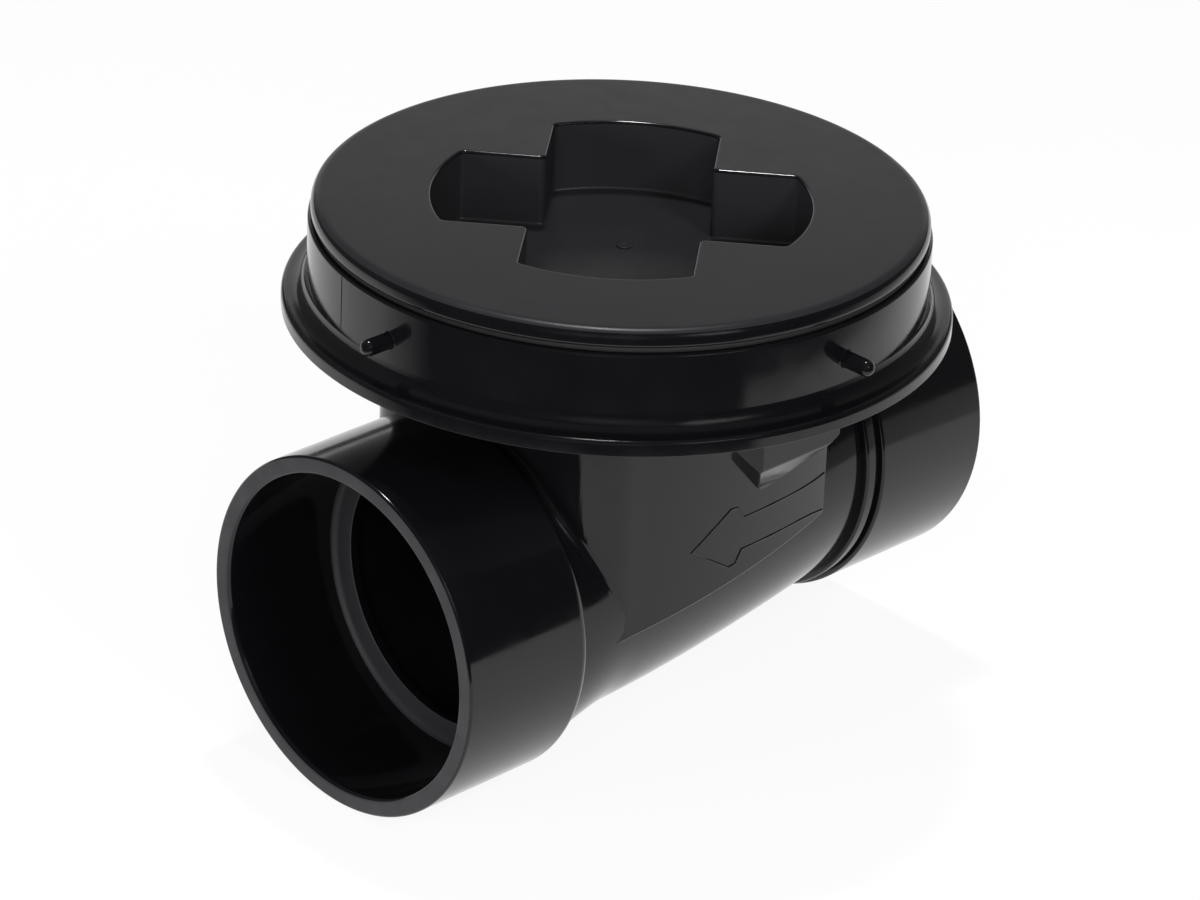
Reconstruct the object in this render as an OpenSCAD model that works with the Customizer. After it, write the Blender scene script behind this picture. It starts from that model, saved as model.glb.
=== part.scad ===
// Backwater valve for a drain of 88.9 mm pipe: a gate hung on a pin closes the inlet when sewage
// runs back, and a screwed cover in a round access collar gives a way in to it.
// The origin is the middle of the outlet socket's mouth. +X leaves the outlet, +Z is up.

/* [Pipe sockets] */
// Bore of each pipe socket
socket_d = 89.4; // [84:0.1:92]
// Depth of each pipe socket
socket_depth = 38.1; // [28:0.1:48]
// Outside diameter of each hub
hub_d = 100; // [97:0.5:110]
// Opening in the pipe stop at the foot of each socket
stop_d = 76.2; // [66:0.1:80]
// Thickness of the pipe stop
stop_t = 3; // [2:0.1:5]
// Length of the outlet hub's skirt over the barrel
skirt_len = 2.4; // [1.5:0.1:6]
// Length of the inlet hub's bead over the barrel
bead_len = 3.8; // [2.5:0.1:6]
// Height of the inlet hub's bead above the barrel
bead_rise = 2.4; // [1.2:0.1:3]
// Width of the groove between the inlet hub and its bead
groove_w = 1.2; // [0.6:0.1:2]
// Chamfer round each hub's face
mouth_chamfer = 0.9; // [0.3:0.1:2]
// Rounding of the outlet hub's back edge
hub_round = 2.8; // [1:0.1:3]

/* [Barrel and chamber] */
// From the cover's axis to the outlet's face
outlet_reach = 98; // [95:0.5:115]
// From the cover's axis to the inlet's face
inlet_reach = 96; // [93:0.5:115]
// Height of the inlet's axis over the outlet's axis
drop = 16.4; // [12:0.1:18]
// Outside diameter of the barrel's round ends
stub_d = 92.6; // [92:0.1:94]
// Outside diameter of the sloping trough between the ends
trough_d = 91.8; // [90:0.1:92.5]
// Wall of the barrel and of the chamber
wall = 4.2; // [3:0.1:4.6]
// Width of the chamber at its widest
chamber_w = 99; // [97:0.5:104]
// From the cover's axis to the chamber's end wall on the outlet side
chamber_outlet = 51; // [48:0.5:53]
// From the cover's axis to the chamber's end wall on the inlet side
chamber_inlet = 37; // [36:0.5:40]
// Radius of the chamber's bowed sides, in plan
side_r = 219; // [200:1:300]
// Radius of the chamber's corners on the outlet side, in plan
corner_r = 15; // [8:0.5:20]
// How far the chamber's walls reach below the trough's axis
ridge_drop = 4.5; // [1:0.1:10]

/* [Access collar] */
// Diameter of the flange
flange_d = 180; // [176:0.5:190]
// Thickness of the flange
flange_t = 4.2; // [3.5:0.1:6]
// Height of the flange's underside over the outlet's axis
flange_z = 67; // [66:0.5:75]
// Outside diameter of the collar
collar_d = 166.5; // [164:0.5:170]
// Height of the collar over the flange
collar_h = 21.1; // [20:0.1:28]
// Wall of the collar
collar_wall = 6; // [5:0.1:8]
// Fillet between the collar and the flange
collar_fillet = 4.5; // [1:0.5:6]
// Diameter of the sleeve pins
sleeve_pin_d = 4.5; // [3:0.1:6]
// How far the sleeve pins stand out of the collar
sleeve_pin_reach = 9.3; // [5:0.1:12]
// How far the sleeve pins are set into the collar
sleeve_pin_set = 4; // [2:0.1:4.5]
// Height of the sleeve pins over the flange
sleeve_pin_z = 11; // [8:0.1:14]

/* [Cover] */
// Diameter of the cover
cover_d = 165; // [162:0.5:168]
// Height of the cover's rim
cover_rim_h = 4.8; // [4:0.1:8]
// Rounding of the rim's upper edge
cover_round = 3; // [1:0.1:3.5]
// Diameter that the recess's arms reach to
recess_d = 101.4; // [80:0.2:108]
// Width of the recess's arms
recess_arm_w = 45.2; // [30:0.2:54]
// Depth of the recess
recess_depth = 20.2; // [10:0.1:21]
// Wall round and under the recess
recess_wall = 3.4; // [2:0.1:3.6]
// Turn of the recess from the pipe's axis
recess_turn = 40; // [0:1:90]
// Radial room between the plug and the collar, for their threads
thread_room = 1.2; // [0.8:0.1:2]
// Wall of the plug
plug_wall = 4.2; // [3:0.1:5]
// Length of the plug under the rim
plug_len = 17.8; // [12:0.1:18]
// Thickness of the ribs under the cover
rib_t = 2.4; // [1.5:0.1:4]
// Ribs under the cover
rib_count = 8; // [4:1:12]
// Thickness of the cover's gasket
gasket_t = 1.5; // [1:0.1:3]
// How far the gasket's edge lies inside the collar's wall
gasket_inset = 1.5; // [0.5:0.1:2.5]

/* [Gate] */
// Diameter of the gate
gate_d = 79; // [76:0.2:79.6]
// Thickness of the gate's plate
gate_t = 5; // [4:0.1:7]
// From the hinge's axis back to the gate's plate
gate_back = 2; // [1:0.1:3]
// Bore of the valve seat
seat_bore = 70; // [64:0.2:72]
// Lean of the seat, top towards the inlet
seat_tilt = 12; // [8:0.5:14]
// Room left between the seal and the seat
close_gap = 0.3; // [0.1:0.05:0.5]
// Thickness of the gate's seal
seal_t = 3; // [2:0.1:4]
// Inside diameter of the gate's seal
seal_bore = 44; // [30:0.5:50]
// Diameter of the plate that holds the seal
retainer_d = 62; // [56:0.5:63]
// Thickness of the plate that holds the seal
retainer_t = 3; // [2:0.1:4]
// Shank diameter of the seal's screws
seal_screw_d = 4; // [3:0.1:5]
// Diameter of the circle of the seal's screws
seal_screw_circle = 53; // [52:0.5:54]
// Screws that hold the seal
seal_screw_count = 6; // [4:1:8]

/* [Hinge] */
// Distance of the hinge's axis from the cover's axis, towards the inlet
hinge_back = 24.5; // [22:0.1:25]
// Distance of the hinge's axis below the flange
hinge_below = 7; // [6.5:0.1:8]
// Diameter of the hinge pin
hinge_pin_d = 6; // [4:0.1:7]
// Radial running clearance of the hinge pin
run_gap = 0.05; // [0.02:0.01:0.1]
// Outside diameter of the gate's knuckles
knuckle_d = 11; // [9.5:0.1:11.5]
// Width of each knuckle
knuckle_w = 12; // [8:0.5:14]
// From the middle to the middle of each knuckle
knuckle_y = 25; // [20:0.5:27]
// Height and width of the bush blocks
bush_w = 10; // [9:0.1:11]
// Length of the bush blocks
bush_len = 7; // [5:0.1:8]
// How far the hinge bosses stand out from the pipe's axis
boss_y = 55.5; // [55.5:0.1:58]
// Height of the lower edge of the bosses' outer face
boss_edge_z = 38; // [34:0.5:44]
// Height where the bosses meet the chamber's wall
boss_foot_z = 26.5; // [24:0.5:30]
// From the hinge's axis to the end of the bosses on the inlet side
boss_inlet = 6.6; // [6.5:0.1:11]
// From the hinge's axis to the end of the bosses on the outlet side
boss_outlet = 28; // [20:0.5:32]
// How far the bosses' outlet end is set back at the outer face
boss_slant = 4.5; // [0:0.1:8]
// Rounding of the outer face's lower corner at the inlet end
boss_round = 3; // [1:0.1:5]
// Thickness of the pin keepers
keeper_t = 2.5; // [2:0.1:3]
// Shank diameter of the keepers' screws
keeper_screw_d = 3.2; // [2.5:0.1:4]

/* [Hidden] */
$fn = 96;

// Room left in a joint for cement, all round
weld_gap = 0.05;
// Room left between the inlet hub and the flange over it
flange_room = 0.3;
// How far a cut runs past the face that it opens
over = 1;

// Places along the pipe, from the cover's axis
socket_len = socket_depth + stop_t;
stub_outlet_x = outlet_reach - socket_len;
stub_inlet_x = -(inlet_reach - socket_len);
// The trough's axis meets the axes of the round ends this far from their outer faces
elbow_set = 8.9;
elbow_outlet_x = stub_outlet_x - elbow_set;
elbow_inlet_x = stub_inlet_x + elbow_set;
slope = atan2(drop, elbow_outlet_x - elbow_inlet_x);
trough_len = norm([drop, elbow_outlet_x - elbow_inlet_x]);
stub_r = stub_d / 2;
trough_r = trough_d / 2;
stub_bore_r = stub_r - wall;
trough_bore_r = trough_r - wall;
// A stub runs on until the tilted end of the trough lies inside it
stub_past = trough_r * sin(slope) + over;

// Heights, over the outlet's axis
flange_top = flange_z + flange_t;
collar_top = flange_top + collar_h;
rim_z = collar_top + gasket_t;
cover_top = rim_z + cover_rim_h;
recess_floor = cover_top - recess_depth;
hinge_z = flange_z - hinge_below;
hinge_x = -hinge_back;

// The collar, its bore and the plug in it
collar_r = collar_d / 2;
collar_bore_r = collar_r - collar_wall;
plug_r = collar_bore_r - thread_room;

// The gate, in the hinge's own frame: x downstream, z up, hanging straight down
seal_face = gate_back + seal_t;
seat_face = seal_face + close_gap;
gate_drop = (hinge_z - drop - seat_face * sin(seat_tilt)) / cos(seat_tilt);
hinge_pin_r = hinge_pin_d / 2;
retainer_face = seal_face + retainer_t;
arm_t = 5;
arm_lap = 10;
arm_foot = gate_drop - arm_lap;
rib_h = 5;
rib_reach = gate_d / 3;

// Screw heads: radii for a shank of 1 across, and heights
head_foot = 0.875;
head_top = 0.7;
seal_head_h = 2.2;
keeper_head_h = 0.6 * keeper_screw_d;

// The hinge pockets, and the keepers over them
pocket_gap = 0.1;
pocket_y = boss_y - wall;
pocket_w = bush_w + 2 * pocket_gap;
bush_y = pocket_y - pocket_gap - bush_len;
keeper_margin = 5;
keeper_lap = 3;
keeper_out = 4.5;
keeper_y0 = bush_y - keeper_lap;
keeper_y1 = boss_y + keeper_out;
keeper_screw_side = 2;
keeper_screw_out = 1;
keeper_screw_x = bush_w / 2 + keeper_screw_side;
keeper_screw_y = boss_y + keeper_screw_out;
keeper_screw_depth = flange_t - over;

black = "#191a1c";
black_gloss = "#101113";
rubber = "#26272a";
acetal = "#d9d6cc";
steel = "#b9bcc0";

// Points of a round stretch of an outline
function arc(cx, cy, r, from, to, steps = 6) =
    [for (i = [0:steps]) [cx + r * cos(from + (to - from) * i / steps),
                          cy + r * sin(from + (to - from) * i / steps)]];

// Half the chamber's width at a place along the pipe
function side_half(x, inset) =
    sqrt(pow(side_r - inset, 2) - pow(x, 2)) - (side_r - chamber_w / 2);

module from_cover_axis() {
    translate([-outlet_reach, 0, 0]) children();
}

module both_sides() {
    for (side = [0, 1]) mirror([0, side, 0]) children();
}

// A cylinder along the pipe, between two places
module along_x(r, x0, x1, z) {
    translate([x0, 0, z]) rotate([0, 90, 0]) cylinder(r = r, h = x1 - x0);
}

module trough(r, past = 0) {
    translate([elbow_outlet_x, 0, 0])
        rotate([0, slope, 0])
            along_x(r, -trough_len - past, past, 0);
}

// All that lies over the trough's axis, raised by a height
module over_axis(height) {
    span = 2 * (outlet_reach + inlet_reach);
    translate([elbow_outlet_x, 0, 0])
        rotate([0, slope, 0])
            translate([-span / 2, -span / 2, height]) cube(span);
}

// Outline of the chamber seen from above: two bowed sides, a straight inlet end and a rounded outlet end
module chamber_plan(inset) {
    x0 = -chamber_inlet + inset;
    x1 = chamber_outlet - inset;
    rc = corner_r - inset;
    corner_y = side_half(x1 - rc, inset) - rc;
    intersection() {
        translate([0, -(side_r - chamber_w / 2)]) circle(r = side_r - inset);
        translate([0, side_r - chamber_w / 2]) circle(r = side_r - inset);
        union() {
            translate([x0, -chamber_w]) square([x1 - rc - x0, 2 * chamber_w]);
            translate([x0, -corner_y]) square([x1 - x0, 2 * corner_y]);
            for (side = [-1, 1]) translate([x1 - rc, side * corner_y]) circle(r = rc);
        }
    }
}

module chamber(inset, raise, top) {
    intersection() {
        translate([0, 0, -hub_d]) linear_extrude(top + hub_d) chamber_plan(inset);
        over_axis(raise);
    }
}

// One hinge boss: a corbel under the flange that leans in to the chamber's wall at its foot. Its outlet end
// is cut on a slant, and its underside runs out into the outer face's rounded corner at the inlet end
module hinge_boss() {
    foot_y = side_half(hinge_x, 0);
    inner_y = foot_y - wall;
    lean = boss_edge_z - boss_foot_z;
    end_z = boss_edge_z + lean / 2;
    x0 = hinge_x - boss_inlet;
    x1 = hinge_x + boss_outlet;
    intersection() {
        translate([x1, 0, 0]) rotate([90, 0, -90])
            linear_extrude(x1 - x0)
                polygon([[-inner_y, flange_z], [-boss_y, flange_z], [-boss_y, boss_edge_z],
                         [-foot_y, boss_foot_z], [-inner_y, boss_foot_z]]);
        translate([0, boss_y, 0]) rotate([90, 0, 0])
            linear_extrude(boss_y)
                polygon(concat(
                    [[x0, flange_z], [x1, flange_z], [x1, end_z], [x1 - lean, boss_foot_z]],
                    arc(x0 + boss_round, boss_edge_z + boss_round, boss_round, 270, 180)));
        linear_extrude(flange_z)
            polygon([[x0, inner_y], [x1, inner_y], [x1, foot_y], [x1 - boss_slant, boss_y], [x0, boss_y]]);
    }
}

// The pocket that a bush block drops into, open at the top
module hinge_pocket(top) {
    floor_z = hinge_z - bush_w / 2;
    translate([hinge_x - pocket_w / 2, bush_y - bush_len, floor_z])
        cube([pocket_w, pocket_y - bush_y + bush_len, top - floor_z]);
}

module body_shell() {
    color(black_gloss) from_cover_axis() difference() {
        union() {
            along_x(stub_r, elbow_outlet_x - stub_past, stub_outlet_x, 0);
            along_x(stub_r, stub_inlet_x, elbow_inlet_x + stub_past, drop);
            trough(trough_r);
            chamber(0, -ridge_drop, flange_z);
            both_sides() hinge_boss();
        }
        along_x(stub_bore_r, elbow_outlet_x - stub_past, stub_outlet_x + over, 0);
        along_x(stub_bore_r, stub_inlet_x - over, -seat_face, drop);
        trough(trough_bore_r);
        chamber(wall, wall - ridge_drop, flange_z + over);
        both_sides() hinge_pocket(flange_z + over);
    }
}

module access_collar() {
    f = collar_fillet;
    color(black_gloss) from_cover_axis() difference() {
        rotate_extrude()
            polygon(concat(
                [[0, flange_z], [flange_d / 2, flange_z], [flange_d / 2, flange_top]],
                arc(collar_r + f, flange_top + f, f, 270, 180),
                [[collar_r, collar_top], [collar_bore_r, collar_top], [collar_bore_r, flange_top],
                 [0, flange_top]]));
        translate([0, 0, flange_z - over])
            linear_extrude(flange_t + 2 * over) chamber_plan(wall);
        both_sides() hinge_pocket(flange_top + over);
        sleeve_pin_places() sleeve_pin(sleeve_pin_d / 2 + weld_gap);
        keeper_screw_places()
            translate([0, 0, flange_top - keeper_screw_depth])
                cylinder(r = keeper_screw_d / 2 + weld_gap, h = flange_t);
    }
}

// A socket with its pipe stop: outline from the mouth back to the end of the given back edge
module hub(back_edge, back_len) {
    c = mouth_chamfer;
    rotate_extrude()
        polygon(concat(
            [[socket_d / 2, 0], [hub_d / 2 - c, 0], [hub_d / 2, -c]],
            back_edge,
            [[stub_r + weld_gap, -(socket_len + back_len)], [stub_r + weld_gap, -socket_len],
             [stop_d / 2, -socket_len], [stop_d / 2, -socket_depth], [socket_d / 2, -socket_depth]]));
}

module outlet_hub() {
    end = -(socket_len + skirt_len);
    color(black) rotate([0, 90, 0])
        hub(arc(hub_d / 2 - hub_round, end + hub_round, hub_round, 0, -90), skirt_len);
}

module inlet_hub() {
    step = -(socket_len - groove_w);
    bead_r = stub_r + bead_rise;
    groove_r = stub_r + bead_rise / 2;
    round_r = bead_rise / 3;
    end = -(socket_len + bead_len);
    color(black) difference() {
        translate([-(outlet_reach + inlet_reach), 0, drop]) rotate([0, -90, 0])
            hub(concat([[hub_d / 2, step], [groove_r, step], [groove_r, -socket_len],
                        [bead_r, -socket_len]],
                       arc(bead_r - round_r, end + round_r, round_r, 0, -90)), bead_len);
        from_cover_axis() translate([0, 0, flange_z - flange_room]) cylinder(d = flange_d, h = flange_t);
    }
}

// A frame on the hinge's axis, leaning as the closed gate does
module at_hinge() {
    translate([hinge_x, 0, hinge_z]) rotate([0, -seat_tilt, 0]) children();
}

// A disc or ring of the gate, facing downstream, between two places
module gate_round(r, x0, x1) {
    translate([0, 0, -gate_drop]) along_x(r, x0, x1, 0);
}

module valve_seat() {
    color(black) from_cover_axis() difference() {
        along_x(stub_bore_r - weld_gap, stub_inlet_x, 0, drop);
        along_x(seat_bore / 2, stub_inlet_x - over, over, drop);
        at_hinge() translate([-seat_face, -hub_d, -2 * hub_d]) cube([2 * hub_d, 2 * hub_d, 4 * hub_d]);
    }
}

module sleeve_pin_places() {
    for (turn = [0:90:270]) rotate([0, 0, turn])
        translate([collar_r - sleeve_pin_set, 0, flange_top + sleeve_pin_z]) rotate([0, 90, 0]) children();
}

// One pin with a domed end
module sleeve_pin(r) {
    len = sleeve_pin_set + sleeve_pin_reach;
    rotate_extrude() polygon(concat([[0, 0]], arc(0, len - r, r, 0, 90)));
    cylinder(r = r, h = len - r);
}

module sleeve_pins() {
    color(black_gloss) from_cover_axis() sleeve_pin_places() sleeve_pin(sleeve_pin_d / 2);
}

// The cross seen from above, its arms cut off by a circle
module recess_plan(grow) {
    rotate(recess_turn) intersection() {
        circle(d = recess_d + 2 * grow);
        union() {
            square([recess_d + 4 * grow, recess_arm_w + 2 * grow], center = true);
            square([recess_arm_w + 2 * grow, recess_d + 4 * grow], center = true);
        }
    }
}

module cover_cap() {
    r = cover_d / 2;
    cup_h = recess_depth + recess_wall;
    color(black) from_cover_axis() difference() {
        union() {
            rotate_extrude()
                polygon(concat(
                    [[0, rim_z], [plug_r - plug_wall, rim_z], [plug_r - plug_wall, rim_z - plug_len],
                     [plug_r, rim_z - plug_len], [plug_r, rim_z], [r, rim_z]],
                    arc(r - cover_round, cover_top - cover_round, cover_round, 0, 90),
                    [[0, cover_top]]));
            translate([0, 0, cover_top - cup_h]) linear_extrude(cup_h - over) recess_plan(recess_wall);
            for (i = [0:rib_count - 1]) rotate(i * 360 / rib_count)
                translate([recess_arm_w / 2, -rib_t / 2, rim_z - plug_len / 2])
                    cube([plug_r - plug_wall / 2 - recess_arm_w / 2, rib_t, plug_len / 2]);
        }
        translate([0, 0, recess_floor]) linear_extrude(recess_depth + over) recess_plan(0);
    }
}

module cover_gasket() {
    color(rubber) from_cover_axis() translate([0, 0, collar_top]) difference() {
        cylinder(r = collar_r - gasket_inset, h = gasket_t);
        translate([0, 0, -over]) cylinder(r = collar_bore_r, h = gasket_t + 2 * over);
    }
}

module seal_screw_places(x) {
    translate([x, 0, -gate_drop])
        for (i = [0:seal_screw_count - 1]) rotate([i * 360 / seal_screw_count, 0, 0])
            translate([0, 0, seal_screw_circle / 2]) rotate([0, 90, 0]) children();
}

module gate_disc() {
    knuckle_r = knuckle_d / 2;
    color(black) from_cover_axis() at_hinge() difference() {
        union() {
            gate_round(gate_d / 2, -gate_back, gate_t - gate_back);
            both_sides() translate([0, knuckle_y - knuckle_w / 2, 0]) {
                rotate([-90, 0, 0]) cylinder(r = knuckle_r, h = knuckle_w);
                translate([0, 0, -arm_foot]) cube([arm_t, knuckle_w, arm_foot]);
            }
            translate([0, -rib_reach, -gate_drop - rib_t / 2])
                cube([gate_t - gate_back + rib_h, 2 * rib_reach, rib_t]);
            translate([0, -rib_t / 2, -gate_drop - rib_reach])
                cube([gate_t - gate_back + rib_h, rib_t, 2 * rib_reach]);
        }
        translate([0, -hub_d / 2, 0]) rotate([-90, 0, 0])
            cylinder(r = hinge_pin_r + run_gap, h = hub_d);
        seal_screw_places(-gate_back - over)
            cylinder(r = seal_screw_d / 2 + weld_gap, h = gate_t);
    }
}

module gate_seal() {
    color(rubber) from_cover_axis() at_hinge() difference() {
        gate_round(gate_d / 2, -seal_face, -gate_back);
        gate_round(seal_bore / 2, -seal_face - over, -gate_back + over);
        seal_screw_places(-seal_face - over) cylinder(r = seal_screw_d / 2 + weld_gap, h = seal_t + 2 * over);
    }
}

module seal_retainer() {
    color(steel) from_cover_axis() at_hinge() difference() {
        gate_round(retainer_d / 2, -retainer_face, -seal_face);
        seal_screw_places(-retainer_face - over)
            cylinder(r = seal_screw_d / 2 + weld_gap, h = retainer_t + 2 * over);
    }
}

module screw_head(d, h) {
    cylinder(r1 = head_foot * d, r2 = head_top * d, h = h);
}

module retainer_screws() {
    shank = retainer_t + seal_t + gate_t - over;
    color(steel) from_cover_axis() at_hinge() seal_screw_places(-retainer_face) {
        cylinder(r = seal_screw_d / 2, h = shank);
        mirror([0, 0, 1]) screw_head(seal_screw_d, seal_head_h);
    }
}

module hinge_pin() {
    half = pocket_y - 2 * pocket_gap;
    color(steel) from_cover_axis() translate([hinge_x, -half, hinge_z])
        rotate([-90, 0, 0]) cylinder(r = hinge_pin_r, h = 2 * half);
}

module hinge_bush(side) {
    color(acetal) from_cover_axis() mirror([0, side, 0]) difference() {
        translate([hinge_x - bush_w / 2, bush_y, hinge_z - bush_w / 2]) cube([bush_w, bush_len, bush_w]);
        translate([hinge_x, 0, hinge_z]) rotate([-90, 0, 0])
            cylinder(r = hinge_pin_r + run_gap, h = boss_y);
    }
}

module hinge_bush_left() {
    hinge_bush(0);
}

module hinge_bush_right() {
    hinge_bush(1);
}

module keeper_screw_places() {
    both_sides() for (x = [-keeper_screw_x, keeper_screw_x])
        translate([hinge_x + x, keeper_screw_y, 0]) children();
}

// A plate on the flange with a tongue that holds the bush block down in its pocket
module pin_keeper(side) {
    bush_top = hinge_z + bush_w / 2;
    half_w = bush_w / 2 + keeper_margin;
    color(acetal) from_cover_axis() difference() {
        mirror([0, side, 0]) union() {
            translate([hinge_x - half_w, keeper_y0, flange_top])
                cube([2 * half_w, keeper_y1 - keeper_y0, keeper_t]);
            translate([hinge_x - bush_w / 2, bush_y, bush_top])
                cube([bush_w, bush_len, flange_top + keeper_t - bush_top]);
        }
        keeper_screw_places() translate([0, 0, flange_top - over])
            cylinder(r = keeper_screw_d / 2 + weld_gap, h = keeper_t + 2 * over);
    }
}

module pin_keeper_left() {
    pin_keeper(0);
}

module pin_keeper_right() {
    pin_keeper(1);
}

module keeper_screws() {
    shank = keeper_screw_depth + keeper_t;
    color(steel) from_cover_axis() keeper_screw_places() translate([0, 0, flange_top + keeper_t]) {
        translate([0, 0, -shank]) cylinder(r = keeper_screw_d / 2, h = shank);
        screw_head(keeper_screw_d, keeper_head_h);
    }
}

body_shell();
access_collar();
outlet_hub();
inlet_hub();
valve_seat();
sleeve_pins();
cover_cap();
cover_gasket();
gate_disc();
gate_seal();
seal_retainer();
retainer_screws();
hinge_pin();
hinge_bush_left();
hinge_bush_right();
pin_keeper_left();
pin_keeper_right();
keeper_screws();
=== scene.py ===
import math

import bpy
from mathutils import Matrix, Vector


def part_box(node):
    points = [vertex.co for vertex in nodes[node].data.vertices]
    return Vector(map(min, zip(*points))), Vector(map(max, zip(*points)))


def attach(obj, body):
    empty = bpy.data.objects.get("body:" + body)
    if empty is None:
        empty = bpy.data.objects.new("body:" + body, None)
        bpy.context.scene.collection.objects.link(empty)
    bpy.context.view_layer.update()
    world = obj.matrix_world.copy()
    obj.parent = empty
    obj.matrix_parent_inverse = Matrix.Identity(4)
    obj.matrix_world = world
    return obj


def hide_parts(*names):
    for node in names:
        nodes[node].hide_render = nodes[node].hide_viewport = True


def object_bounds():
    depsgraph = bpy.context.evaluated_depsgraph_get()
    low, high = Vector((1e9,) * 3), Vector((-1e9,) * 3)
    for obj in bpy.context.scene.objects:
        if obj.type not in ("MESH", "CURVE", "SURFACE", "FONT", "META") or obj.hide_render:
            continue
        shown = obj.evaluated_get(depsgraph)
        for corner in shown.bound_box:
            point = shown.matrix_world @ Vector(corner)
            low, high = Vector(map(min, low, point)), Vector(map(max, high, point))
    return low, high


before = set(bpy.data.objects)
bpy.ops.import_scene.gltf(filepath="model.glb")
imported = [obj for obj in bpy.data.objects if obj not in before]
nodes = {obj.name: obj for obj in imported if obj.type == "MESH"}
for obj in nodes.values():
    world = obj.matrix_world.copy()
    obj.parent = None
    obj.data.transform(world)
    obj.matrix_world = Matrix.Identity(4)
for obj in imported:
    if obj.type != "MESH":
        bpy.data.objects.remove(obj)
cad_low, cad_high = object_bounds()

MM = 0.001

# Places taken from the frame
hub_low, hub_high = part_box("outlet_hub")
inlet_low, inlet_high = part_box("inlet_hub")
collar_low, collar_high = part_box("access_collar")
cap_low, cap_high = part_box("cover_cap")
gasket_low, gasket_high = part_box("cover_gasket")
shell_low, shell_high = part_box("body_shell")
cover_axis = (cap_low + cap_high) / 2
cover_axis.z = 0
outlet_mouth = Vector((hub_high.x, 0, (hub_low.z + hub_high.z) / 2))
inlet_mouth = Vector((inlet_low.x, 0, (inlet_low.z + inlet_high.z) / 2))
hub_r = (hub_high.y - hub_low.y) / 2
flange_r = (collar_high.y - collar_low.y) / 2
cap_r = (cap_high.y - cap_low.y) / 2
gasket_r = (gasket_high.y - gasket_low.y) / 2
pins_low, pins_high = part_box("sleeve_pins")
pin_reach = (pins_high.y - pins_low.y) / 2

# Sockets
socket_r = 44.7 * MM
socket_depth = 38.1 * MM
stop_r = 38.1 * MM
stop_t = 3 * MM
barrel_r = 46.35 * MM
lip_round = 0.9 * MM
lip_inside = 1.5 * MM
hub_round = 3.6 * MM
groove_w = 1.2 * MM
bead_rise = 2.4 * MM
stop_edge = 0.4 * MM
foot_round = 2 * MM

# How squarely a hub's face looks out to count as trimmed: anywhere, and deep in the socket
lip_facing = 0.9
stop_facing = 0.3

# Collar
flange_t = 4.2 * MM
collar_r = 83.25 * MM
collar_bore = 77.25 * MM
collar_fillet = 4.5 * MM
edge_round = 0.8 * MM
flange_edge = 1.4 * MM
flange_under = 0.2 * MM
pin_r = 2.25 * MM
pin_set = 4 * MM
pin_rise = 11 * MM
pin_foot = 0.4 * MM
pin_sunk = 0.2 * MM
seam_w = 0.5 * MM
seam_h = 0.12 * MM
seam_sink = 1 * MM
seam_turn = math.radians(-15)

# Chamber, in plan from the cover's axis
chamber_outlet = 51 * MM
chamber_inlet = 37 * MM
chamber_half = 49.5 * MM
chamber_bow = 219 * MM
chamber_corner = 15 * MM
chamber_wall = 4.2 * MM
crease_round = 3 * MM
crease_sink = 0.4 * MM
crease_end = 74
body_edge = 0.5 * MM
ridge_edge = 0.9 * MM
long_edge = 5 * MM
weld = 0.05 * MM
sink = 0.8 * MM

# Barrel: where its middle line bends and climbs, from the cover's axis
bend_start = 55 * MM
bend_run = 24 * MM
bend_rise = 4.6 * MM
climb_start = 44 * MM
climb_end = 53 * MM
climb_curve = 1.8
sleeve_start = 10 * MM
sleeve_run = 28 * MM
ridge_start = 48 * MM
ridge_slope = math.radians(9.9)
ridge_drop = 4.5 * MM

# Hinge bosses, from the cover's axis
boss_out = 55.5 * MM
boss_inlet = -31.1 * MM
boss_outlet = 3.5 * MM
boss_edge = 38 * MM
boss_foot = 26.5 * MM
boss_slant = 4.5 * MM
boss_end_lean = 1.5
boss_round = 3 * MM
pocket_floor = 55 * MM

# Hinge pockets in the flange, from the cover's axis
pocket_x = -24.5 * MM
pocket_half = 5.1 * MM
pocket_y = (37.2 * MM, 51.3 * MM)

# Cover
rim_h = 4.8 * MM
rim_round = 3 * MM
plug_r = 76.05 * MM
plug_wall = 4.2 * MM
plug_len = 17.8 * MM
recess_r = 50.7 * MM
recess_half = 22.6 * MM
recess_depth = 20.2 * MM
recess_wall = 3.4 * MM
recess_turn = math.radians(40)
recess_inner = 1.8 * MM
recess_outer = 1.8 * MM
recess_edge = 0.8 * MM
recess_land = 1.2 * MM
rim_under = 1 * MM
thread_pitch = 6 * MM
thread_h = 0.7 * MM
thread_foot = 1.25 * MM
thread_top = 0.55 * MM
thread_turns = 2
thread_low = 78.4 * MM
rib_t = 2.4 * MM
rib_count = 8
sprue_mark_r = 2.2 * MM
sprue_mark_at = Vector((-10.6, -8.5, 0)) * MM
sprue_sink = 1 * MM

# How squarely a cover's face looks up to count as its top, or as the grained part of its rim
top_facing = 0.9
rim_facing = 0.7

# Gate: the hinge's place, then sizes in the hinge's frame
hinge_at = Vector((-122.5, 0, 60)) * MM
gate_lean = math.radians(12)
gate_drop = 43.45 * MM
retainer_face = 8 * MM
screw_circle = 26.5 * MM
screw_count = 6

# Screws, as thickness, head's height and shank's length
retainer_screw = (4 * MM, 2.2 * MM, 10.9 * MM)
keeper_screw = (3.2 * MM, 1.92 * MM, 5.6 * MM)

# Keeper screws: how far they stand from the pocket's middle along the pipe, how far out, and how high
keeper_at = (7 * MM, 56.5 * MM, 73.7 * MM)

# Screw heads: the foot's and top's radius and the slot's reach and half width for each unit of thickness,
# the slot's floor as a share of the head's height, and the swell between foot and top
head_foot = 0.875
head_top = 0.7
slot_reach = 0.45
slot_half = 0.1
slot_floor = 0.45
head_swell = 0.1 * MM

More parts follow.
